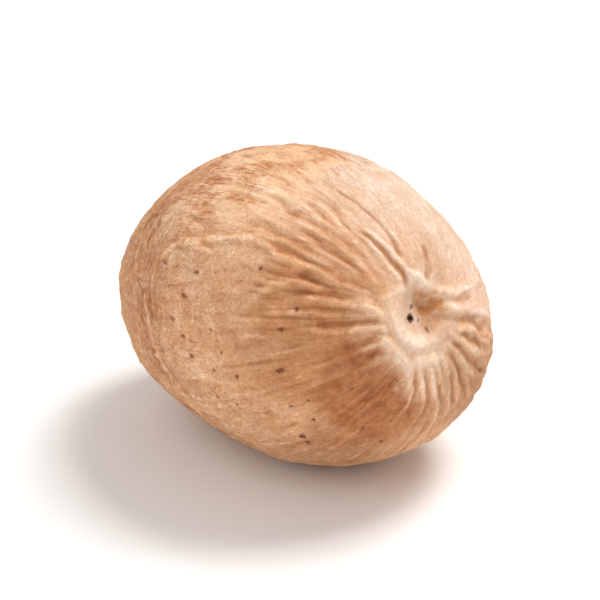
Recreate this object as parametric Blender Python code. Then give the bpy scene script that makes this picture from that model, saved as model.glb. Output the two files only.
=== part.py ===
"""A whole nutmeg: one dried kernel, lying on its side with its eye raised.

The kernel is an egg-shaped body about a long axis. A sunken eye inside two low
rings closes the raised end, low ridges fan out from it, and a small dimple marks
the far end. A small flat spot underneath lets it rest without rolling.
"""

import math

import bmesh
import bpy
from mathutils import Matrix, Vector

MM = 0.001

# The body, along and across its own axis.
LENGTH = 26.0 * MM
WIDTH = 21.0 * MM
THICKNESS = 18.4 * MM
FULLER_AT_EYE = 0.06
ROLL = math.radians(-38.0)
TILT = math.radians(20.0)

# Low swellings and hollows: angle from the eye, clock angle, height.
SWELLING_SPREAD = math.radians(33.0)
SWELLINGS = (
    (57.0, 128.0, 0.7 * MM),
    (58.0, 92.0, -0.6 * MM),
    (103.0, -140.0, -0.4 * MM),
    (98.0, 8.0, 0.3 * MM),
    (92.0, -168.0, 0.4 * MM),
    (110.0, 70.0, 0.3 * MM),
)

# The eye: a bowl, and two low rings round it with a shallow ditch between them.
EYE_DEPTH = 1.2 * MM
EYE_RADIUS = 1.1 * MM
RING_RADII = (2.0 * MM, 3.5 * MM)
RING_WIDTH = 0.6 * MM
RING_HEIGHT = 0.13 * MM

# The ridges that fan out from the eye, each a swept meridian.
RIDGE_COUNT = 20
RIDGE_HEIGHT = 0.13 * MM
RIDGE_START = math.radians(12.0)
RIDGE_PEAK = math.radians(28.0)
RIDGE_END = math.radians(75.0)
RIDGE_SWEEP = 0.35

# The dimple at the far end.
DIMPLE_DEPTH = 0.5 * MM
DIMPLE_RADIUS = 1.2 * MM

# The flat spot that it rests on, pressed this far into the lowest point.
FLAT_PRESS = 0.7 * MM

SEGMENTS = 4 * RIDGE_COUNT
RINGS = 44
CROWDING_AT_EYE = 0.4


def direction(polar, clock):
    """Unit vector in the kernel's axes: X runs to the eye, clock 0 is Z, clock 90 is Y."""
    across = math.sin(polar)
    return Vector((math.cos(polar), across * math.sin(clock), across * math.cos(clock)))


def smooth_step(value, start, end):
    share = min(max((value - start) / (end - start), 0.0), 1.0)
    return share * share * (3.0 - 2.0 * share)


def body_radius(aim):
    """Distance from the centre to the plain body along the unit vector aim."""
    wide = math.cos(ROLL) * aim.y + math.sin(ROLL) * aim.z
    narrow = math.cos(ROLL) * aim.z - math.sin(ROLL) * aim.y
    fullness = 1.0 + FULLER_AT_EYE * aim.x
    along = aim.x / (LENGTH / 2)
    across = math.hypot(wide / (WIDTH / 2), narrow / (THICKNESS / 2)) / fullness
    return 1.0 / math.hypot(along, across)


def swelling(aim):
    total = 0.0
    for polar, clock, height in SWELLINGS:
        middle = direction(math.radians(polar), math.radians(clock))
        total += height * math.exp((aim.dot(middle) - 1.0) / (1.0 - math.cos(SWELLING_SPREAD)))
    return total


def eye_relief(off_axis):
    """Height of the eye's bowl and rings at a distance from the axis."""
    height = -EYE_DEPTH * math.exp(-((off_axis / EYE_RADIUS) ** 2))
    for ring_radius in RING_RADII:
        height += RING_HEIGHT * math.exp(-(((off_axis - ring_radius) / RING_WIDTH) ** 2))
    return height


def ridge_relief(polar, clock):
    """Height of the ridges, which rise past the rings and fade beyond the middle."""
    strength = smooth_step(polar, RIDGE_START, RIDGE_PEAK)
    strength *= 1.0 - smooth_step(polar, RIDGE_PEAK, RIDGE_END)
    wave = math.cos(RIDGE_COUNT * (clock + RIDGE_SWEEP * polar))
    return RIDGE_HEIGHT * strength * wave


def dimple_relief(off_axis):
    return -DIMPLE_DEPTH * math.exp(-((off_axis / DIMPLE_RADIUS) ** 2))


def surface_point(polar, clock):
    """A point of the kernel's skin, in the kernel's own axes."""
    aim = direction(polar, clock)
    plain = body_radius(aim) + swelling(aim)
    off_axis = plain * math.sin(polar)
    if polar < math.pi / 2:
        relief = eye_relief(off_axis) + ridge_relief(polar, clock)
    else:
        relief = dimple_relief(off_axis)
    return aim * (plain + relief)


def shape_kernel(mesh):
    """Moves each point of a unit sphere, whose poles are on Z, out to the kernel's skin."""
    lean = Matrix.Rotation(-TILT, 3, "Y")
    for vertex in mesh.verts:
        even = math.acos(min(max(vertex.co.normalized().z, -1.0), 1.0))
        polar = even - CROWDING_AT_EYE * math.sin(even)
        clock = math.atan2(vertex.co.x, vertex.co.y)
        vertex.co = lean @ surface_point(polar, clock)


def press_flat_spot(mesh):
    """Presses the underside level, a little above its lowest point."""
    level = min(vertex.co.z for vertex in mesh.verts) + FLAT_PRESS
    for vertex in mesh.verts:
        vertex.co.z = max(vertex.co.z, level)


def stand_on_origin(mesh):
    """Moves the mesh so that the middle of its box's underside is the origin."""
    spans = [[vertex.co[axis] for vertex in mesh.verts] for axis in range(3)]
    middle = [(min(span) + max(span)) / 2 for span in spans]
    shift = Vector((-middle[0], -middle[1], -min(spans[2])))
    bmesh.ops.translate(mesh, verts=mesh.verts[:], vec=shift)


def skin_material():
    material = bpy.data.materials.new("nutmeg_skin")
    material.use_nodes = True
    skin = material.node_tree.nodes["Principled BSDF"]
    skin.inputs["Base Color"].default_value = (0.55, 0.30, 0.155, 1.0)
    skin.inputs["Roughness"].default_value = 0.62
    skin.inputs["Metallic"].default_value = 0.0
    material.diffuse_color = (0.55, 0.30, 0.155, 1.0)
    return material


def make_nutmeg():
    mesh = bmesh.new()
    bmesh.ops.create_uvsphere(mesh, u_segments=SEGMENTS, v_segments=RINGS, radius=1.0)
    shape_kernel(mesh)
    bmesh.ops.recalc_face_normals(mesh, faces=mesh.faces[:])
    press_flat_spot(mesh)
    stand_on_origin(mesh)
    bmesh.ops.triangulate(mesh, faces=mesh.faces[:])
    bmesh.ops.recalc_face_normals(mesh, faces=mesh.faces[:])

    data = bpy.data.meshes.new("nutmeg")
    mesh.to_mesh(data)
    mesh.free()
    data.shade_smooth()
    data.materials.append(skin_material())
    nutmeg = bpy.data.objects.new("nutmeg", data)
    bpy.context.scene.collection.objects.link(nutmeg)
    return nutmeg


def main():
    for old in list(bpy.data.objects):
        bpy.data.objects.remove(old, do_unlink=True)
    make_nutmeg()


main()
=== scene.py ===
"""A whole nutmeg: the kernel's puckered skin, its colours, and a pale studio floor.

The kernel is grown by one Geometry Nodes tree from a gridded cube. Each point of
the cube becomes a direction, told by its angle from the eye (polar) and its turn
about the axis (clock: 0 on top, 90 towards +Y). The tree works in millimetres.
"""

import math
import random

import bpy
from mathutils import Matrix, Vector


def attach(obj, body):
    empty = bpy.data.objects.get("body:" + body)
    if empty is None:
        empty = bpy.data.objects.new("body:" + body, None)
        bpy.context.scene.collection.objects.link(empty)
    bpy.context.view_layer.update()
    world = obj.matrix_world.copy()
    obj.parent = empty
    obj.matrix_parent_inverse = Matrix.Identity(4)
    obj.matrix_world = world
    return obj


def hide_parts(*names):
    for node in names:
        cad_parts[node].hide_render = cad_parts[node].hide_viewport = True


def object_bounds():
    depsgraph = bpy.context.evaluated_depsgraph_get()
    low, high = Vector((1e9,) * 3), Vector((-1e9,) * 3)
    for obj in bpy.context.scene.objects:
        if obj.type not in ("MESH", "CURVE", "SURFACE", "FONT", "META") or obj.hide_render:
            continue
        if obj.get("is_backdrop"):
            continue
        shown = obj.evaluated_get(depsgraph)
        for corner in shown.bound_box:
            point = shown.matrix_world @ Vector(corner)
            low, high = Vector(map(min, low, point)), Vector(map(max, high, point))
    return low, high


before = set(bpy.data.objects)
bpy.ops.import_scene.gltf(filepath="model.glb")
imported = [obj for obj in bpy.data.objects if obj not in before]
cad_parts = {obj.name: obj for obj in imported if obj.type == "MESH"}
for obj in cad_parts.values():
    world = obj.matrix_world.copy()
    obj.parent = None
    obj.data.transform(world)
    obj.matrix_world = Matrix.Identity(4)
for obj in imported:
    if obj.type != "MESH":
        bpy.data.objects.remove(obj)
cad_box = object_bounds()

METRES = 0.001

# The kernel's form, in millimetres and degrees, as the solid has it.
LENGTH = 26.0
WIDTH = 21.0
THICKNESS = 18.4
FULLER_AT_EYE = 0.06
ROLL = -38.0
TILT = 20.0
SWELLING_SPREAD = 33.0
SWELLINGS = (
    (57.0, 128.0, 0.7),
    (58.0, 92.0, -0.6),
    (103.0, -140.0, -0.4),
    (98.0, 8.0, 0.3),
    (92.0, -168.0, 0.4),
    (110.0, 70.0, 0.3),
)
FLAT_PRESS = 0.7
EYE_DEPTH = 1.15

# The grid, and how much closer it runs at the eye.
CELLS = 129
CROWDING_AT_EYE = 0.4

# Ridges are drawn on a flat chart about the eye, in degrees: x towards clock 90, y
# towards clock 0. The chart wraps a ball on which one degree is one unit long.
CHART_RADIUS = math.degrees(1.0)
PATH_STEP = 0.25

# Each crest: height in millimetres, half width in degrees, and the points that it
# runs through, from the eye outwards.
CRESTS = (
    # Around the eye: rim, lobes and knuckles.
    (0.12, 2.0, ((-7, 8.4), (-9.4, 7.2), (-10.2, 4.2), (-9.8, 1), (-8.6, -2), (-6.4, -4.9), (-3.2, -6.9), (0.6, -7.2), (4, -5.9), (6, -4.2))),
    (0.16, 1.3, ((-11, 8.2), (-8.5, 7.8), (-5.5, 8.4), (-3.2, 8.2))),
    (0.30, 1.3, ((-2, 12.2), (0.4, 10.4), (1.8, 8.2), (3.4, 6.3), (5, 4.9), (6.6, 3.9), (8.4, 3.3), (10.5, 3), (13, 2.8), (17, 2.4), (20, 2))),
    (0.21, 1.5, ((5.4, 0.4), (8, -0.3), (11, -1.5), (15, -2.8), (19, -4.2), (23, -6), (28, -9), (34, -13))),
    (0.27, 1.8, ((-13.5, -3), (-11.5, -5.5), (-9.3, -8.5), (-7.7, -11.5), (-7, -14), (-6.4, -18), (-6.2, -22), (-6.8, -28))),
    (0.24, 1.7, ((-4.8, -12), (-2.5, -12), (0, -12.2), (1.5, -13.5))),
    # Left, from the lowest up.
    (0.12, 0.9, ((-9, -19), (-11, -18), (-13, -19.5), (-15, -21.3))),
    (0.10, 1.0, ((-23.5, -15), (-24.5, -15.5), (-26.5, -16.5), (-29, -17.5))),
    (0.14, 1.3, ((-12, -7.5), (-15, -8), (-19, -9), (-23, -9.5), (-27, -10.5), (-30, -11.5), (-34, -13.5), (-38, -15), (-42, -17))),
    (0.15, 1.2, ((-13, -3.6), (-15, -3.9), (-19, -4.3), (-23, -5), (-27, -6), (-31, -7), (-35, -8.5), (-40, -9.3))),
    (0.22, 1.1, ((-12, -0.5), (-14, 1), (-17, 1.4), (-20, 1.2), (-22.5, 0.8))),
    (0.13, 0.9, ((-21, 0.6), (-24.5, 1.8), (-27, 2.8), (-30, 4), (-33, 5.1), (-36, 6.6))),
    (0.27, 1.4, ((-12, 3), (-13.2, 4.4), (-15, 6.3), (-17.5, 8), (-20, 9.3), (-23, 10.5), (-26, 12), (-29, 12.7), (-32, 12.5))),
    (0.13, 1.0, ((-23, 6.4), (-25, 7), (-27.5, 8.1), (-30.5, 9.4), (-34, 10.2), (-37, 11))),
    (0.18, 1.2, ((-26, 14.6), (-27.5, 16), (-29, 17), (-31, 18.3), (-34, 18.9), (-38, 19), (-42, 18), (-47, 17.4))),
    (0.18, 1.3, ((-15, 10), (-17, 11.2), (-19, 12.8), (-21, 15), (-23, 17.2), (-25, 19.8), (-27, 21.7), (-29.5, 24.5), (-31.5, 26.4), (-34, 27.4), (-37, 28.4))),
    (0.15, 1.0, ((-21, 20), (-24, 23.2), (-26.5, 26), (-28.5, 29.2), (-31, 32.2), (-34.5, 34.5), (-37, 37), (-40, 38))),
    (0.13, 1.0, ((-11, 9.8), (-12, 11.5), (-13.7, 13.7), (-16, 17), (-18.5, 20), (-21.3, 23.5), (-23.5, 27), (-25.5, 30.7))),
    (0.17, 1.2, ((-11.2, 12), (-12.4, 15), (-13.3, 18), (-14, 20.5), (-15.5, 23), (-17, 26), (-19, 28.5), (-20.5, 31), (-22.5, 33.5), (-24.5, 36.3))),
    (0.12, 1.0, ((-9, 12.6), (-9.4, 15), (-9.9, 18), (-10.6, 21.5), (-11.7, 24), (-13.2, 26))),
    (0.13, 0.9, ((-13.3, 28), (-15, 29), (-16.6, 31.5), (-18, 35), (-19, 39), (-20.3, 43.5), (-22.5, 47))),
    (0.17, 0.9, ((-4.8, 10.6), (-5.4, 12.6), (-6.8, 16.3), (-7.5, 20), (-8.1, 23.5), (-9.6, 26.6))),
    (0.12, 0.9, ((-13, 29.8), (-13.6, 33.5), (-14.5, 37), (-15.6, 40.5), (-17, 44))),
    (0.20, 1.1, ((-1.6, 9.5), (-1.9, 12), (-2.6, 14.5), (-3.3, 17), (-4, 19.5), (-5, 22.5), (-6.3, 25.6), (-7.6, 28))),
    (0.10, 1.3, ((-8.4, 30), (-9.3, 35), (-9.9, 39), (-10.2, 44), (-10.5, 49))),
    (0.10, 0.9, ((1.6, 12.6), (0.9, 16), (0.5, 20), (0.3, 24))),
    (0.20, 1.0, ((-53.6, 37.6), (-56.2, 41.2), (-58, 44), (-60.4, 46.6), (-64, 48.4), (-68.6, 47.6), (-75, 46.4))),
    (0.20, 0.95, ((-28.4, 21.4), (-30.6, 23.8), (-32.4, 26), (-34.2, 29), (-35, 31.5), (-36.4, 33.6), (-38.2, 35.8), (-40.8, 38), (-44, 39.6), (-48, 41), (-52.4, 43.2), (-57, 44.6))),
    (0.14, 1.3, ((-27.6, 34.5), (-28.4, 36), (-30, 38.2), (-31.4, 40), (-33.2, 42))),
    (0.11, 1.0, ((-32, 34), (-33.4, 36), (-35, 37.8), (-37, 39))),
    (0.16, 1.1, ((-22.4, 44), (-23, 46.2), (-24.6, 48.6), (-26.6, 50.4), (-29.6, 52.4))),
    (0.09, 1.3, ((-38, 10.8), (-41, 11.3), (-44, 11.2), (-48, 10.6))),
    # Below, from the left round to the right.
    (0.20, 0.9, ((-4.2, -12.6), (-3.7, -14.6), (-2.8, -18), (-1.6, -22), (-0.8, -25), (-0.8, -29), (-1.5, -35))),
    (0.22, 0.9, ((-0.8, -13.5), (0.3, -17), (1.1, -20), (2.4, -23.4), (3.6, -26.4), (4.4, -29), (5, -33), (6, -40))),
    (0.16, 0.9, ((1.2, -13), (2.3, -16), (3.5, -19), (4.7, -22), (5.8, -26))),
    (0.19, 0.9, ((2.8, -11.9), (4, -14), (5.6, -17.5), (7, -21), (8, -25), (9, -30), (10, -36))),
    (0.18, 0.9, ((4, -10.4), (5.4, -13), (7.2, -16.5), (9, -20), (10.5, -24), (12, -28), (14, -33))),
    (0.16, 0.9, ((6, -9.7), (8, -12), (10.2, -15), (12.3, -18), (14.2, -21), (15.6, -25), (17.3, -29.2), (19, -34))),
    (0.18, 1.0, ((7, -7), (8.7, -8.5), (10.4, -10.3), (12, -12), (14.3, -13.7), (17, -15.5), (20, -17), (24, -18.7), (29, -20.6))),
    (0.16, 0.9, ((10, -6.8), (12, -7.1), (14.4, -7.9), (17, -8.9), (19.4, -10.5), (21, -13), (24, -15.5), (29, -18))),
    (0.12, 0.9, ((16, -21), (18, -23), (21, -25.5), (24, -28.5), (26, -32))),
    (0.12, 1.0, ((20, -19), (23, -21), (27, -23), (32, -25))),
    (0.12, 1.0, ((22, -12), (26, -13.6), (30, -16), (35, -18.5))),
    (0.13, 2.0, ((9, 3), (12, 2.8), (17, 2.6), (22, 2), (28, 0.8), (34, -1))),
)

# Creases and pinholes, in the same form, with their depth below the skin.
CREASES = (
    (-0.11, 1.7, ((-11.4, 2), (-10.9, -1), (-10, -3.5), (-8, -6.6), (-6, -9), (-3.5, -9.9), (0, -9.4), (3, -10.3), (5.4, -11.6))),
    (-0.17, 0.9, ((-3.4, 8.6), (-3.3, 11.4), (-3.8, 13.6), (-4.5, 16), (-5, 18.5), (-6, 21), (-7.1, 24), (-8.8, 27))),
    (-0.14, 0.8, ((-1, 17), (-0.9, 20), (-0.8, 24), (-1.2, 27), (-2.2, 31), (-3.2, 34), (-4.1, 37), (-5, 39.7), (-6.1, 42.5), (-7.7, 45))),
    (-0.11, 1.1, ((-13.8, 14), (-14.5, 16.4), (-15.5, 18.5), (-17, 20.5), (-18.5, 23), (-20, 25.6), (-21, 28), (-22.4, 30.4), (-24.4, 33))),
    (-0.10, 1.0, ((-14.4, 10.5), (-16.5, 12.6), (-19, 15), (-21, 17.1), (-23, 19.6), (-25, 22.1), (-27, 25), (-29, 28), (-31, 30), (-33, 32.2))),
    (-0.13, 1.0, ((-25.4, 16.5), (-27, 18), (-28.5, 19.8), (-30.4, 20.4))),
    (-0.14, 1.2, ((-18.6, 10), (-21, 10.8), (-23, 12.1), (-25, 12.7), (-28, 14.1), (-31, 15.4), (-34.5, 15.8))),
    (-0.12, 1.8, ((-13.4, 2), (-15.5, 2.6), (-18, 3.3), (-21, 3.8), (-24, 4.3), (-27, 5.3), (-30, 6.2))),
    (-0.11, 1.9, ((-14, -1.6), (-17, -2.4), (-20, -2.8), (-24, -2.6))),
    (-0.12, 1.5, ((-14, -5.5), (-16, -5.7), (-18, -6.2), (-20, -6.5), (-23, -7.4))),
    (-0.10, 1.4, ((-11, -15.6), (-13.4, -17.5), (-16, -19.6), (-20, -21.6))),
    (-0.10, 1.1, ((-11.2, 28.4), (-11.5, 31), (-11.6, 34), (-11.5, 37.5))),
    (-0.10, 0.8, ((-15.5, 33.4), (-16.4, 37.5), (-17.6, 41.4))),
    (-0.16, 0.9, ((-22.8, 37.6), (-24, 40), (-24.6, 43), (-25.1, 46))),
    (-0.16, 0.6, ((-29, 46.6), (-29.6, 48), (-30.3, 49))),
    (-0.16, 1.5, ((4.2, 9.2), (5.3, 10.8), (6.1, 12.7), (7, 14.9), (7.8, 18))),
    (-0.07, 1.7, ((5.6, 8.4), (8, 7), (11, 6.3), (15, 5.6))),
    (-0.12, 1.1, ((-5.2, -16.4), (-4.6, -20), (-4.5, -24), (-4.6, -28), (-4, -32))),
    (-0.11, 0.7, ((-2, -16.6), (-0.9, -20), (0, -24), (0.4, -28), (0, -33), (-1, -38))),
    (-0.13, 0.8, ((3.6, -21), (4.2, -23.6), (5, -26.4))),
    (-0.14, 0.9, ((4.4, -10.9), (6, -12.9), (7.5, -14.6), (9, -17), (10.5, -20), (11.7, -22.5), (13.2, -25.6))),
    (-0.13, 1.0, ((7.4, -9.4), (9.5, -11.2), (12, -14), (14.5, -16.6), (17, -19), (20, -21.6), (23, -24), (26.4, -25.8))),
    (-0.13, 1.4, ((5.6, -2.6), (9, -3.6), (12, -4.9), (15, -5.7), (18, -7.1), (20, -9), (22.5, -11), (25, -12.4))),
    (-0.12, 0.9, ((12, -8.6), (14, -10), (16, -11.6), (19, -13.6), (21.8, -15.8))),
    (-0.10, 0.9, ((6.4, -19), (8, -22.4), (9.5, -25.6), (11, -29), (13.6, -31.4))),
    (-0.08, 1.4, ((8.6, 2.2), (11, 1.4), (13, 0.8), (15.5, 0), (18, -0.8), (21, -1.4))),
)

# The small holes in the floor of the eye, in the same form, and the pits and short
# slits that are scattered over the skin.
PINHOLES = (
    (-0.70, 1.00, ((-2.3, -0.3), (-2, -0.4))),
    (-0.12, 1.00, ((-1.1, 2.4), (-0.8, 2.1))),
    (-0.12, 0.90, ((0.1, -1.7), (0.3, -2))),
    (-0.13, 1.00, ((1.4, -4.4), (2, -4.4))),
    (-0.26, 0.80, ((-33.3, -27.8), (-33.1, -28.2))),
    (-0.26, 0.80, ((-36.4, -37.6), (-36.6, -38.8))),
    (-0.18, 0.80, ((-34.1, -42.6), (-34.4, -43.2))),
    (-0.19, 0.80, ((-34.9, -19.3), (-35.1, -19.7))),
    (-0.19, 0.80, ((-41.4, -6.9), (-43.4, -7.4))),
    (-0.12, 0.80, ((-22.2, -15.8), (-22.7, -16.2))),
    (-0.10, 0.80, ((-17.8, -32), (-18, -35.4))),
    (-0.18, 0.80, ((-9.4, -41.8), (-9.6, -42.3))),
    (-0.16, 0.80, ((-39.9, -21.6), (-40.1, -22.4))),
    (-0.16, 0.80, ((-38.6, 6.2), (-38.8, 7.2))),
    (-0.16, 0.80, ((-39.1, 25.8), (-39.3, 26.6))),
    (-0.16, 0.80, ((-33.2, 11), (-33.8, 11.6))),
    (-0.16, 0.80, ((-56.2, -9.1), (-57.6, -9.8))),
    (-0.13, 0.80, ((-60, 0.8), (-60.4, 1.4))),
    (-0.13, 0.80, ((-65.6, -6.9), (-66.8, -7.2))),
    (-0.13, 0.80, ((-59.4, -23.6), (-59.9, -24))),
    (-0.11, 0.80, ((-61.2, 9.8), (-62.4, 10.4))),
    (-0.11, 0.80, ((-67, -21.3), (-68.4, -21.6))),
    (-0.11, 0.80, ((-67.8, 24.6), (-70, 26.4))),
    (-0.11, 0.80, ((-74.7, 7.8), (-75.5, 9.2))),
    (-0.11, 0.80, ((-77.3, 16.6), (-80, 18.4))),
    (-0.11, 0.80, ((-60.2, 32), (-61.6, 33.6))),
    (-0.11, 0.80, ((-72.8, 42.2), (-74.6, 44.6))),
    (-0.15, 0.80, ((-73.6, -0.4), (-75, -0.9))),
    (-0.12, 0.80, ((-82.4, 3.4), (-83.6, 3.4))),
    (-0.13, 0.80, ((-70.2, -27.3), (-70.8, -27.8))),
)

# Ridges beyond those: first and last clock angle, start and end polar angle, degrees
# between ridges, height.
FANS = (
    (60.0, 118.0, 40.0, 80.0, 8.0, 0.05),
    (118.0, 172.0, 36.0, 84.0, 5.5, 0.10),
    (172.0, 235.0, 42.0, 84.0, 6.5, 0.07),
    (0.0, 40.0, 58.0, 90.0, 8.0, 0.06),
)

CAMERA_TURN = 52.88
CAMERA_RISE = 27.99
CAMERA_DISTANCE = 0.24
CAMERA_LENS = 237.0

# Name, place, size in metres and power in watts of each lamp.
STUDIO_LIGHTS = (
    ("key", (0.05, 0.24, 0.5), 0.24, 2.6),
    ("fill", (0.1, -0.45, 0.45), 0.45, 1.0),
)


def tint(red, green, blue):
    """A colour as a painter's 0 to 255 values, turned into the renderer's linear light."""
    shares = (red / 255, green / 255, blue / 255)
    return tuple(s / 12.92 if s <= 0.04045 else ((s + 0.055) / 1.055) ** 2.4 for s in shares) + (1.0,)


# Painted shade: the near-black of the eye's main pinhole, where its depth lies in shadow.
PINHOLE_SHADE = tint(58, 30, 20)


class Wire:
    """One output of a node. Arithmetic on it adds the Math nodes that work it out."""

    def __init__(self, net, socket):
        self.net = net
        self.socket = socket

    def output(self, name):
        return Wire(self.net, self.socket.node.outputs[name])

    def __add__(self, other):
        return self.net.math("ADD", self, other)

    def __sub__(self, other):
        return self.net.math("SUBTRACT", self, other)

    def __rsub__(self, other):
        return self.net.math("SUBTRACT", other, self)

    def __mul__(self, other):
        return self.net.math("MULTIPLY", self, other)

    def __truediv__(self, other):
        return self.net.math("DIVIDE", self, other)

    def __rtruediv__(self, other):
        return self.net.math("DIVIDE", other, self)

    def __pow__(self, other):
        return self.net.math("POWER", self, other)

    def __neg__(self):
        return self.net.math("MULTIPLY", self, -1.0)

    __radd__ = __add__
    __rmul__ = __mul__


class Net:
    """A node tree, to which every node is added by one method."""

    def __init__(self, tree):
        self.tree = tree

    def node(self, kind, settings, values, output=0):
        """Adds a node: its settings first, then a number or a wire for each socket named."""
        made = self.tree.nodes.new(kind)
        for name, setting in settings.items():
            setattr(made, name, setting)
        for name, value in values.items():
            if isinstance(value, Wire):
                self.tree.links.new(value.socket, made.inputs[name])
            else:
                made.inputs[name].default_value = value
        return Wire(self, made.outputs[output]) if made.outputs else None

    def math(self, operation, *values):
        return self.node("ShaderNodeMath", {"operation": operation}, dict(enumerate(values)))

    def vector(self, operation, *values, output=0):
        return self.node("ShaderNodeVectorMath", {"operation": operation}, dict(enumerate(values)), output)

    def dot(self, one, other):
        return self.vector("DOT_PRODUCT", one, other, output="Value")

    def scaled(self, vector, factor):
        return self.node("ShaderNodeVectorMath", {"operation": "SCALE"}, {"Vector": vector, "Scale": factor})

    def combine(self, x, y, z):
        return self.node("ShaderNodeCombineXYZ", {}, {"X": x, "Y": y, "Z": z})

    def separate(self, vector):
        parts = self.node("ShaderNodeSeparateXYZ", {}, {"Vector": vector}, "X")
        return parts, parts.output("Y"), parts.output("Z")

    def bell(self, value):
        """Bell curve of a wire: 1 at 0, and 0.37 at 1 or -1."""
        return self.math("EXPONENT", -(value * value))

    def step(self, value, start, end):
        """Smooth step from 0 at start to 1 at end."""
        sockets = {"Value": value, "From Min": start, "From Max": end}
        return self.node("ShaderNodeMapRange", {"interpolation_type": "SMOOTHSTEP"}, sockets)

    def noise(self, place, scale, detail=2.0, roughness=0.5, distortion=0.0):
        """Noise about 0, from about -0.5 to 0.5."""
        sockets = {"Vector": place, "Scale": scale, "Detail": detail}
        sockets.update({"Roughness": roughness, "Distortion": distortion})
        return self.node("ShaderNodeTexNoise", {"noise_dimensions": "3D"}, sockets, "Fac") - 0.5

    def blend(self, factor, first, second):
        """Colour between first at factor 0 and second at factor 1."""
        settings = {"data_type": "RGBA", "clamp_factor": True}
        return self.node("ShaderNodeMix", settings, {0: factor, 6: first, 7: second}, 2)


def aim_at(polar, clock):
    """Unit vector for two angles in degrees."""
    across = math.sin(math.radians(polar))
    turn = math.radians(clock)
    return Vector((math.cos(math.radians(polar)), across * math.sin(turn), across * math.cos(turn)))


def spot(net, aim, polar, clock, inner, outer):
    """1 within the inner angle of a place on the kernel, and 0 past the outer one."""
    nearness = net.dot(aim, tuple(aim_at(polar, clock)))
    return net.step(nearness, math.cos(math.radians(outer)), math.cos(math.radians(inner)))


def along_fibres(net, aim, around, along):
    """Place for a noise that is drawn out along the meridians, with so many cells around."""
    polar = net.math("ARCCOSINE", net.separate(aim)[0])
    side = net.vector("NORMALIZE", net.vector("MULTIPLY", aim, (0.0, 1.0, 1.0)))
    return net.vector("ADD", net.scaled(side, around / math.tau), net.combine(polar * along, 0.0, 0.0))


# --- The crests, drawn as lines on the chart ball ---------------------------------


def on_ball(across, up):
    """The place on the chart ball of a point of the flat chart."""
    return aim_at(math.hypot(across, up), math.degrees(math.atan2(across, up))) * CHART_RADIUS


def through(points):
    """Closely spaced points of the flat chart on a smooth curve through the given ones."""
    ends = [points[0]] + list(points) + [points[-1]]
    for before, start, end, after in zip(ends, ends[1:], ends[2:], ends[3:]):
        count = max(2, round(math.dist(start, end) / PATH_STEP))
        for index in range(count):
            t = index / count
            yield tuple(
                b + t * (c - a) / 2 + t * t * (2 * a - 5 * b + 4 * c - d) / 2 + t**3 * (3 * b - a - 3 * c + d) / 2
                for a, b, c, d in zip(before, start, end, after)
            )


def fan_crests():
    """Lower ridges in the sectors that the drawn ones leave free."""
    chance = random.Random(11)
    for first, last, start, end, spacing, height in FANS:
        clock = first
        while clock < last:
            near = start + chance.uniform(-6, 6)
            far = end + chance.uniform(-10, 10)
            drift = chance.uniform(-3, 3)
            turns = ((near, clock), ((near + far) / 2, clock + drift), (far, clock + drift * 0.4))
            path = [(p * math.sin(math.radians(c)), p * math.cos(math.radians(c))) for p, c in turns]
            yield (height * chance.uniform(0.7, 1.3), 1.3, path)
            clock += spacing * chance.uniform(0.8, 1.2)


def relief_lines(name, crests):
    """A mesh of lines with the height and half width of the crest at each point."""
    points, edges, heights, widths = [], [], [], []
    for height, width, path in crests:
        course = list(through(path))
        for index, place in enumerate(course):
            share = index / (len(course) - 1)
            rise = min((share + 0.12) / 0.2, 1.0)
            fall = min((1.03 - share) / 0.22, 1.0)
            if index:
                edges.append((len(points) - 1, len(points)))
            points.append(on_ball(*place))
            heights.append(height * math.sin(math.pi / 2 * rise) * math.sin(math.pi / 2 * fall))
            widths.append(width)
    data = bpy.data.meshes.new(name)
    data.from_pydata(points, edges, [])
    data.attributes.new("height", "FLOAT", "POINT").data.foreach_set("value", heights)
    data.attributes.new("width", "FLOAT", "POINT").data.foreach_set("value", widths)
    lines = bpy.data.objects.new(name, data)
    bpy.context.scene.collection.objects.link(lines)
    return lines


def line_relief(net, aim, lines):
    """Height of the nearest line of a set, falling off on both sides of it."""
    waver = net.node("ShaderNodeTexNoise", {}, {"Vector": aim, "Scale": 14.0, "Detail": 2.0}, "Color")
    place = net.vector("ADD", net.scaled(aim, CHART_RADIUS), net.scaled(net.vector("SUBTRACT", waver, (0.5, 0.5, 0.5)), 1.5))
    chart = net.node("GeometryNodeObjectInfo", {}, {"Object": lines}, "Geometry")
    distance = net.node(
        "GeometryNodeProximity", {"target_element": "EDGES"}, {0: chart, "Sample Position": place}, "Distance"
    )
    nearest = net.node("GeometryNodeSampleNearest", {"domain": "POINT"}, {"Geometry": chart, "Sample Position": place})

    def sampled(name):
        value = net.node("GeometryNodeInputNamedAttribute", {"data_type": "FLOAT"}, {"Name": name})
        return net.node("GeometryNodeSampleIndex", {}, {"Geometry": chart, "Value": value, "Index": nearest})

    fullness = 1.0 + net.noise(aim, 12.0) * 0.8
    return sampled("height") * net.bell(distance / sampled("width")) * fullness


# --- The kernel's tree -------------------------------------------------------------


def body_radius(net, aim, size):
    """Distance from the centre to the plain body, with its swellings."""
    along, aside, upright = net.separate(aim)
    turn = math.radians(ROLL)
    wide = aside * math.cos(turn) + upright * math.sin(turn)
    narrow = upright * math.cos(turn) - aside * math.sin(turn)
    fullness = 1.0 + along * FULLER_AT_EYE
    lengthwise = along / (size["Length"] * 0.5)
    widthwise = wide / (size["Width"] * 0.5 * fullness)
    depthwise = narrow / (size["Thickness"] * 0.5 * fullness)
    radius = (lengthwise * lengthwise + widthwise * widthwise + depthwise * depthwise) ** -0.5
    spread = 1.0 - math.cos(math.radians(SWELLING_SPREAD))
    for polar, clock, height in SWELLINGS:
        nearness = net.dot(aim, tuple(aim_at(polar, clock)))
        radius = radius + net.math("EXPONENT", (nearness - 1.0) / spread) * height
    return radius


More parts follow.
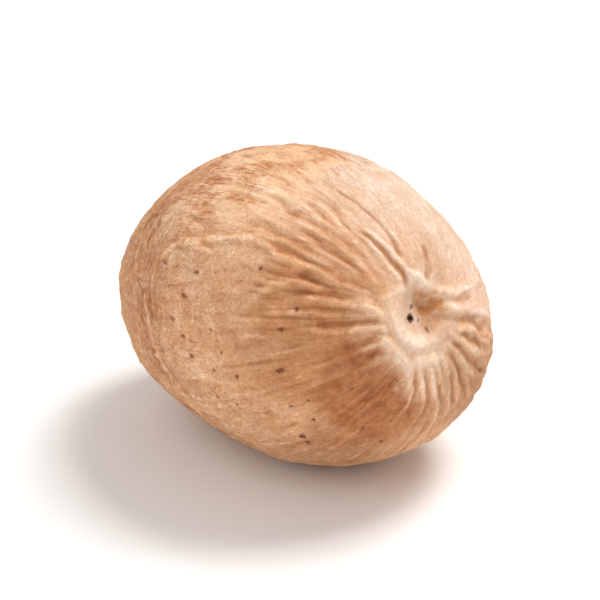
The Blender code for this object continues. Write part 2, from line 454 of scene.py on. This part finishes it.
def eye_relief(net, aim, plain, size):
    """The eye's broad shallow bowl, with a soft swelling round it."""
    along, aside, upright = net.separate(aim)
    east = (aside * CHART_RADIUS + 0.4) / 6.2
    north = (upright * CHART_RADIUS - 0.6) / 6.8
    share = east * east + north * north
    bowl = net.bell(share) * -size["Eye depth"] * 0.55
    east = (aside * CHART_RADIUS - 2.6) / 3.4
    north = (upright * CHART_RADIUS - 2.8) / 3.4
    deepest = net.bell((east * east + north * north) ** 0.5) * -0.34
    swelling = net.bell((share ** 0.5 - 1.8) / 0.75) * 0.20
    return bowl + deepest + swelling


def vein(net, noise, sharpness):
    """Rounded raised lines where a noise passes through nought, from 0 to 1."""
    return net.bell(noise * sharpness)


def skin_relief(net, aim, polar):
    """Low lumps all over, folds and hair-fine ridges along the kernel, and creases at the far end."""
    lumps = net.noise(aim, 2.2, detail=2.0) * 0.30 + net.noise(aim, 24.0, detail=3.0) * 0.06
    dimples = net.noise(along_fibres(net, aim, 24.0, 2.6), 1.0, detail=3.0, roughness=0.5, distortion=0.3) * 0.24
    dimples = dimples * net.step(polar, math.radians(10), math.radians(22)) * net.step(polar, math.radians(172), math.radians(150))
    calm = (1.0 - spot(net, aim, 44, 30, 22, 48) * 0.8) * (1.0 - spot(net, aim, 30, -140, 10, 34) * 0.5)
    calm = calm * (1.0 - spot(net, aim, 62, 100, 30, 55) * 0.7) * (1.0 - spot(net, aim, 62, -55, 8, 20) * 0.8)
    near_zone = net.step(polar, math.radians(11), math.radians(19)) * net.step(polar, math.radians(78), math.radians(36))
    folds = vein(net, net.noise(along_fibres(net, aim, 44.0, 0.9), 1.0, 1.0, 0.5, 0.4), 3.2)
    hairs = net.noise(along_fibres(net, aim, 110.0, 2.4), 1.0, 2.0, 0.6, 0.6)
    mid_zone = net.step(polar, math.radians(25), math.radians(45)) * net.step(polar, math.radians(172), math.radians(145))
    mid_veins = vein(net, net.noise(along_fibres(net, aim, 38.0, 1.5), 1.0, 2.0, 0.5, 0.8), 6.0)
    far_zone = net.step(polar, math.radians(68), math.radians(98))
    far_creases = vein(net, net.noise(along_fibres(net, aim, 26.0, 12.0), 1.0, 3.0, 0.55, 1.2), 6.0)
    fibres = net.noise(along_fibres(net, aim, 160.0, 8.0), 1.0, detail=3.0, roughness=0.6, distortion=0.5)
    ridged = (folds * 0.12 + hairs * 0.24) * near_zone + mid_veins * mid_zone * 0.13
    return lumps + dimples + ridged * calm - far_creases * far_zone * 0.09 + fibres * (near_zone * 0.05 + mid_zone * 0.09)


def kernel_tree(crest_sets, crease_set, hole_set):
    """The tree that grows the kernel about its own axis."""
    tree = bpy.data.node_groups.new("kernel", "GeometryNodeTree")
    net = Net(tree)
    for name in ("Length", "Width", "Thickness", "Eye depth", "Ridge height"):
        tree.interface.new_socket(name, in_out="INPUT", socket_type="NodeSocketFloat")
    tree.interface.new_socket("Cells", in_out="INPUT", socket_type="NodeSocketInt")
    tree.interface.new_socket("Skin", in_out="INPUT", socket_type="NodeSocketMaterial")
    tree.interface.new_socket("Kernel", in_out="OUTPUT", socket_type="NodeSocketGeometry")
    entry = net.node("NodeGroupInput", {}, {})
    size = {item.name: entry.output(item.name) for item in tree.interface.items_tree if item.in_out == "INPUT"}

    def store(shape, name, value, data_type="FLOAT", domain="POINT"):
        settings = {"data_type": data_type, "domain": domain}
        sockets = {"Geometry": shape, "Name": name, "Value": value}
        return net.node("GeometryNodeStoreNamedAttribute", settings, sockets)

    def stored(name, data_type="FLOAT"):
        return net.node("GeometryNodeInputNamedAttribute", {"data_type": data_type}, {"Name": name})

    points = size["Cells"] + 1.0
    sides = {"Size": (2.0, 2.0, 2.0), "Vertices X": points, "Vertices Y": points, "Vertices Z": points}
    cube = net.node("GeometryNodeMeshCube", {}, sides, "Mesh")
    shape = store(cube, "OFBake", cube.output("UV Map"), "FLOAT2", "CORNER")

    corner = net.node("GeometryNodeInputPosition", {}, {})
    even = net.vector("NORMALIZE", net.vector("TANGENT", net.scaled(corner, math.pi / 4)))
    along, aside, upright = net.separate(even)
    polar = net.math("ARCCOSINE", along)
    polar = polar - net.math("SINE", polar) * CROWDING_AT_EYE
    clock = net.math("ARCTAN2", aside, upright)
    across = net.math("SINE", polar)
    aim = net.combine(
        net.math("COSINE", polar), across * net.math("SINE", clock), across * net.math("COSINE", clock)
    )
    shape = store(shape, "aim", aim, "FLOAT_VECTOR")

    aim = stored("aim", "FLOAT_VECTOR")
    along, aside, upright = net.separate(aim)
    polar = net.math("ARCCOSINE", along)
    plain = body_radius(net, aim, size)
    off_axis = plain * net.math("SINE", polar)
    odd, even = [line_relief(net, aim, lines) for lines in crest_sets]
    ridges = net.math("MAXIMUM", odd, even) * size["Ridge height"]
    creases = line_relief(net, aim, crease_set) * 0.75
    holes = line_relief(net, aim, hole_set)
    near_half = net.step(along, -0.2, 0.2)
    eye = eye_relief(net, aim, plain, size) * near_half
    dimple = net.bell(off_axis / 1.2) * (near_half - 1.0) * 0.5
    shape = store(shape, "relief", ridges + creases)
    softened = net.node("GeometryNodeBlurAttribute", {}, {"Value": stored("relief"), "Iterations": 2})
    shape = store(shape, "relief", softened + eye + dimple + skin_relief(net, aim, polar))
    around = net.node("GeometryNodeBlurAttribute", {}, {"Value": stored("relief"), "Iterations": 16})
    shape = store(shape, "hollow", around - stored("relief"))
    close = net.node("GeometryNodeBlurAttribute", {}, {"Value": stored("relief"), "Iterations": 4})
    shape = store(shape, "edge", close - stored("relief"))
    shape = store(shape, "relief", stored("relief") + holes * 0.6)
    shape = store(shape, "hole", -holes)
    shape = store(shape, "crease", -creases)

    skin_point = net.scaled(aim, plain + stored("relief"))
    turned = {"Vector": skin_point, "Angle": math.radians(-TILT)}
    skin_point = net.node("ShaderNodeVectorRotate", {"rotation_type": "Y_AXIS"}, turned)
    shape = net.node("GeometryNodeSetPosition", {}, {"Geometry": shape, "Position": skin_point})

    x, y, z = net.separate(net.node("GeometryNodeInputPosition", {}, {}))
    lowest = net.node("GeometryNodeAttributeStatistic", {}, {"Geometry": shape, "Attribute": z}, "Min")
    pressed = net.combine(x, y, net.math("MAXIMUM", z, lowest + FLAT_PRESS))
    pressed = net.scaled(pressed, METRES)
    shape = net.node("GeometryNodeSetPosition", {}, {"Geometry": shape, "Position": pressed})
    shape = net.node("GeometryNodeSetShadeSmooth", {}, {"Geometry": shape})
    shape = net.node("GeometryNodeRealizeInstances", {}, {"Geometry": shape})
    shape = net.node("GeometryNodeSetMaterial", {}, {"Geometry": shape, "Material": size["Skin"]})
    net.node("NodeGroupOutput", {}, {"Kernel": shape})
    return tree


def spread_bake_map(data):
    """Lays the cube's six sides out in three columns and two rows, with a gap round each."""
    gap = 0.01
    cross = ((0.25, 0.125), (0.25, 0.375), (0.25, 0.625), (0.75, 0.375), (0.0, 0.375), (0.5, 0.375))
    bake_map = data.uv_layers["OFBake"].data
    for face in data.polygons:
        side = face.index // (CELLS * CELLS)
        row, column = divmod(side, 3)
        for loop in face.loop_indices:
            u, v = bake_map[loop].uv
            across = (u - cross[side][0]) * 4
            up = (v - cross[side][1]) * 4
            bake_map[loop].uv = (
                (column + gap + across * (1 - 2 * gap)) / 3,
                (row + gap + up * (1 - 2 * gap)) / 2,
            )


def box_of(data):
    spans = [[vertex.co[axis] for vertex in data.vertices] for axis in range(3)]
    return [min(span) for span in spans], [max(span) for span in spans]


def grow_kernel(skin):
    """The kernel as one plain mesh, standing where the solid stands."""
    crests = list(CRESTS) + list(fan_crests())
    crest_sets = [relief_lines("crests_odd", crests[0::2]), relief_lines("crests_even", crests[1::2])]
    crease_set = relief_lines("creases", CREASES)
    hole_set = relief_lines("pinholes", PINHOLES)
    tree = kernel_tree(crest_sets, crease_set, hole_set)
    seed = bpy.data.objects.new("seed", bpy.data.meshes.new("seed"))
    bpy.context.scene.collection.objects.link(seed)
    growth = seed.modifiers.new("growth", "NODES")
    growth.node_group = tree
    values = {
        "Length": LENGTH,
        "Width": WIDTH,
        "Thickness": THICKNESS,
        "Eye depth": EYE_DEPTH,
        "Ridge height": 0.95,
        "Cells": CELLS,
        "Skin": skin,
    }
    for item in tree.interface.items_tree:
        if item.in_out == "INPUT":
            growth[item.identifier] = values[item.name]
    data = bpy.data.meshes.new_from_object(seed.evaluated_get(bpy.context.evaluated_depsgraph_get()))
    data.name = "nutmeg_kernel"
    seed.modifiers.remove(growth)
    for helper in [seed, crease_set, hole_set] + crest_sets:
        bpy.data.objects.remove(helper, do_unlink=True)

    spread_bake_map(data)
    low, high = box_of(data)
    cad_low, cad_high = cad_box
    shift = [(cad_low[axis] + cad_high[axis] - low[axis] - high[axis]) / 2 for axis in range(2)]
    data.transform(Matrix.Translation((shift[0], shift[1], cad_low[2] - low[2])))
    kernel = bpy.data.objects.new("nutmeg_kernel", data)
    bpy.context.scene.collection.objects.link(kernel)
    return kernel


# --- The skin's colours ------------------------------------------------------------


def shaded(net, colour, shade):
    """The colour, lighter and creamier where the shade is above nought, browner where it is below."""
    gain = [net.math("EXPONENT", shade * warmth) for warmth in (1.0, 1.65, 2.3)]
    return net.vector("MULTIPLY", colour, net.combine(*gain))


def skin_material():
    """Dry, matt brown skin, pale on the near top; its crests lighter and its grooves and creases darker, partly their
    own tone and partly painted highlight and painted shade.
    """
    material = bpy.data.materials.new("nutmeg_skin")
    material.use_nodes = True
    tree = material.node_tree
    tree.nodes.clear()
    net = Net(tree)

    def attribute(name, output):
        return net.node("ShaderNodeAttribute", {"attribute_name": name}, {}, output)

    aim = attribute("aim", "Vector")
    hollow = attribute("hollow", "Fac")
    edge = attribute("edge", "Fac")
    crease = attribute("crease", "Fac")
    hole = attribute("hole", "Fac")
    drift = net.node("ShaderNodeTexNoise", {}, {"Vector": aim, "Scale": 5.0, "Detail": 4.0}, "Color")
    drift = net.scaled(net.vector("SUBTRACT", drift, (0.5, 0.5, 0.5)), 0.4)
    loose_aim = net.vector("NORMALIZE", net.vector("ADD", aim, drift))
    loose_polar = net.math("ARCCOSINE", net.separate(loose_aim)[0])

    def zone(polar, clock, inner, outer):
        return spot(net, loose_aim, polar, clock, inner, outer)

    firm_aim = net.vector("NORMALIZE", net.vector("ADD", aim, net.scaled(drift, 0.4)))

    def near(polar, clock, inner, outer):
        return spot(net, firm_aim, polar, clock, inner, outer)

    streaks = net.noise(along_fibres(net, aim, 60.0, 1.4), 1.0, detail=3.0, roughness=0.6, distortion=0.6)
    mottle = net.noise(aim, 9.0, detail=6.0, roughness=0.65)
    far_zone = net.step(loose_polar, math.radians(94), math.radians(116))
    tan_zone = net.math("MAXIMUM", zone(35, -92, 8, 22), zone(30, -60, 4, 20)) * (0.9 + streaks * 1.2)
    brown_zone = net.math("MAXIMUM", near(29, -137, 7, 16.5), near(33, -160, 5, 13))
    brown_zone = net.math("MAXIMUM", brown_zone, near(22, -112, 2, 11) * 0.85)
    brown_zone = net.math("MAXIMUM", brown_zone, near(43, -150, 5, 17) * 0.5) * (0.95 + streaks * 1.3)
    eye_zone = near(3, -150, 8.5, 15)

    colour = tint(212, 160, 119)
    colour = net.blend(zone(72, -32, 12, 36) * 0.8, colour, tint(222, 175, 136))
    colour = net.blend(zone(58, -20, 4, 15) * 0.7, colour, tint(226, 184, 147))
    colour = net.blend(zone(36, -12, 6, 22) * 0.7, colour, tint(205, 165, 133))
    colour = net.blend(zone(44, 38, 20, 40) * 0.95, colour, tint(215, 187, 163))
    colour = net.blend(zone(16, 5, 4, 16) * 0.7, colour, tint(209, 168, 138))
    colour = net.blend(zone(28, 112, 8, 32) * 0.8, colour, tint(212, 165, 130))
    colour = net.blend(zone(32, 150, 8, 24) * 0.85, colour, tint(199, 149, 110))
    colour = net.blend(zone(54, -156, 8, 24) * 0.8, colour, tint(184, 132, 92))
    # Painted shade: darker and more orange low on the right, towards the outline.
    colour = net.blend(zone(43, 134, 6, 20) * 0.8, colour, tint(174, 117, 75))
    colour = net.blend(zone(88, -125, 6, 24) * 0.6, colour, tint(228, 180, 136))
    colour = net.blend(far_zone * 0.8, colour, tint(208, 152, 106))
    # Darker and redder at the far-left edge: partly the skin's own tone, partly painted shade and warm reflected light.
    colour = net.blend(zone(106, -72, 8, 24) * 0.3, colour, tint(196, 126, 74))
    colour = net.blend(zone(46, -92, 8, 24) * 0.6, colour, tint(200, 144, 100))
    colour = net.blend(tan_zone, colour, tint(185, 125, 80))
    colour = net.blend(zone(68, -3, 6, 20) * 0.55, colour, tint(196, 138, 92))
    patches = net.noise(aim, 6.0, detail=5.0, roughness=0.6)
    colour = net.blend(net.step(patches, 0.0, 0.14) * 0.26, colour, tint(214, 148, 96))
    colour = net.blend(net.step(patches, 0.0, -0.14) * 0.18, colour, tint(218, 182, 152))
    colour = net.blend(brown_zone, colour, tint(166, 98, 51))
    colour = net.blend(zone(24, 84, 5, 16) * 0.6, colour, tint(225, 192, 168))
    colour = net.blend(near(18, -174, 1, 10) * 0.6, colour, tint(228, 186, 153))
    colour = net.blend(near(34, -170, 4, 14) * 0.45, colour, tint(182, 122, 76))
    colour = net.blend(near(15, -80, 2, 9) * 0.6, colour, tint(232, 190, 154))
    colour = net.blend(eye_zone * 0.85, colour, tint(227, 193, 165))
    colour = net.blend(spot(net, aim, 14, 28, 2, 7) * 0.6, colour, tint(196, 152, 118))
    # Lighter low on the left inside the bowl: partly the eye's own cream, partly painted light on the wall that faces
    # the key lamp.
    colour = net.blend(spot(net, aim, 5, -130, 3, 7) * 0.7, colour, tint(230, 201, 176))
    colour = net.blend(near(8.5, 20, 1, 6) * 0.45, colour, tint(240, 214, 190))
    # Darker low on the right inside the bowl: painted shade on that wall, with some of the skin's own tan.
    colour = net.blend(near(8, 130, 1, 6) * 0.55, colour, tint(198, 148, 114))
    # Painted shade on the upper-right wall of the eye's bowl, which faces away from the key lamp, mixed with some brown
    # of the skin's own.
    bowl_shade_and_stain = near(4.6, 43, 0.3, 5.2) + near(4, 95, 0.5, 5) * 0.6
    colour = net.blend(bowl_shade_and_stain * (0.7 + net.noise(aim, 26.0, 3.0) * 2.4), colour, tint(198, 135, 85))

    plainness = 1.0 - eye_zone * 0.5
    # Crests lighter and grooves, creases and fine grooves darker: partly the skin's own tone, partly painted highlight
    # on the crests and painted shade in the hollows.
    crest = net.step(hollow, -0.005, -0.06) * plainness
    groove = net.step(hollow, 0.0, 0.07) * plainness
    fibres = net.noise(along_fibres(net, aim, 190.0, 11.0), 1.0, detail=4.0, roughness=0.7, distortion=0.5)
    grain = net.noise(aim, 58.0, detail=4.0, roughness=0.75)
    coarseness = net.step(loose_polar, math.radians(40), math.radians(78)) * 0.65 + 0.65
    coarseness = coarseness - net.step(loose_polar, math.radians(98), math.radians(122)) * 0.5
    shade = mottle * coarseness * 0.66 + grain * coarseness * plainness + fibres * 0.5 * (1.0 - eye_zone)
    shade = shade + net.noise(aim, 34.0, detail=4.0, roughness=0.65) * eye_zone * 0.35
    shade = shade + crest * 0.11 - groove * 0.14 - net.step(crease, 0.04, 0.12) * (1.0 - eye_zone) * 0.24
    shade = shade + (net.step(edge, -0.004, -0.025) * 0.07 - net.step(edge, 0.004, 0.025) * 0.08) * plainness
    shade = shade + net.noise(aim, 20.0, detail=4.0, roughness=0.65) * brown_zone * 1.1
    colour = shaded(net, colour, shade)
    upper_zone = spot(net, loose_aim, 76, -14, 20, 43)
    bands = net.noise(along_fibres(net, aim, 30.0, 3.0), 1.0, detail=4.0, roughness=0.6, distortion=0.8)
    colour = net.blend(upper_zone * net.step(bands, -0.02, 0.12) * 0.45, colour, tint(194, 132, 84))
    colour = net.blend(upper_zone * net.step(bands, 0.02, -0.10) * 0.45, colour, tint(236, 196, 158))
    dashes = net.step(net.noise(along_fibres(net, aim, 340.0, 6.0), 1.0, 2.0, 0.6, 1.4), -0.01, 0.08)
    dash_zone = upper_zone * net.step(bands + streaks * 0.5, -0.2, 0.12)
    colour = net.blend(dashes * dash_zone * 0.8, colour, tint(164, 96, 48))
    wrinkles = vein(net, net.noise(along_fibres(net, aim, 20.0, 17.0), 1.0, 3.0, 0.6, 1.2), 18.0)
    wrinkle_zone = net.step(loose_polar, math.radians(76), math.radians(97)) * net.step(mottle + bands, -0.14, 0.12)
    wrinkle_zone = wrinkle_zone * (1.0 - net.step(loose_polar, math.radians(100), math.radians(125)) * 0.4)
    wrinkle_zone = wrinkle_zone * (1.0 - upper_zone * 0.6)
    colour = net.blend(wrinkles * wrinkle_zone * 0.9, colour, tint(158, 84, 32))
    flecks = net.step(net.noise(along_fibres(net, aim, 200.0, 22.0), 1.0, 3.0, 0.6, 1.0), 0.10, 0.18)
    fleck_zone = net.step(loose_polar, math.radians(35), math.radians(60)) * 0.6 + brown_zone * 0.5
    colour = net.blend(flecks * fleck_zone, colour, tint(146, 80, 34))
    colour = net.blend(net.step(hole, 0.02, 0.11) * 0.88, colour, tint(120, 60, 26))
    # Painted shade in the eye's main pinhole.
    colour = net.blend(spot(net, aim, 2.2, -99, 0.3, 0.9), colour, PINHOLE_SHADE)

    bump = {"Strength": 0.4, "Distance": 0.0001, "Height": grain + fibres - wrinkles * wrinkle_zone * 0.8}
    surface = net.node("ShaderNodeBump", {}, bump)
    shader = {
        "Base Color": colour,
        "Roughness": 0.62 - fibres * 0.2,
        "Specular IOR Level": 0.25,
        "Normal": surface,
    }
    skin = net.node("ShaderNodeBsdfPrincipled", {}, shader)
    net.node("ShaderNodeOutputMaterial", {}, {"Surface": skin})
    return material


def floor_material():
    material = bpy.data.materials.new("studio_floor")
    material.use_nodes = True
    paint = material.node_tree.nodes["Principled BSDF"].inputs
    paint["Base Color"].default_value = tint(246, 245, 243)
    paint["Roughness"].default_value = 0.8
    return material


def build_studio():
    """A plain pale floor and soft white light from high on the right."""
    half = 2.0
    data = bpy.data.meshes.new("studio_floor")
    data.from_pydata([(-half, -half, 0), (half, -half, 0), (half, half, 0), (-half, half, 0)], [], [(0, 1, 2, 3)])
    data.materials.append(floor_material())
    floor = bpy.data.objects.new("studio_floor", data)
    bpy.context.scene.collection.objects.link(floor)
    floor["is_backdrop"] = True

    world = bpy.data.worlds.new("studio_air")
    world.use_nodes = True
    world.node_tree.nodes["Background"].inputs["Color"].default_value = (1.0, 1.0, 1.0, 1.0)
    world.node_tree.nodes["Background"].inputs["Strength"].default_value = 0.54
    bpy.context.scene.world = world
    bpy.context.scene.view_settings.view_transform = "Standard"

    for name, place, size, power in STUDIO_LIGHTS:
        lamp = bpy.data.lights.new(name, "AREA")
        lamp.size = size
        lamp.energy = power
        holder = bpy.data.objects.new(name, lamp)
        holder.location = place
        holder.rotation_euler = (MIDDLE - Vector(place)).to_track_quat("-Z", "Y").to_euler()
        bpy.context.scene.collection.objects.link(holder)


def place_camera():
    turn, rise = math.radians(CAMERA_TURN), math.radians(CAMERA_RISE)
    back = Vector((math.sin(turn) * math.cos(rise), -math.cos(turn) * math.cos(rise), math.sin(rise)))
    lens = bpy.data.cameras.new("camera")
    lens.lens = CAMERA_LENS
    lens.clip_start = 0.01
    camera = bpy.data.objects.new("camera", lens)
    camera.location = MIDDLE + back * CAMERA_DISTANCE
    camera.rotation_euler = back.to_track_quat("Z", "Y").to_euler()
    bpy.context.scene.collection.objects.link(camera)
    bpy.context.scene.camera = camera


MIDDLE = Vector([(low + high) / 2 for low, high in zip(*cad_box)])

kernel = grow_kernel(skin_material())
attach(kernel, "root")
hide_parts("nutmeg")
build_studio()
place_camera()

[[list(corner) for corner in box] for box in (cad_box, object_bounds())]
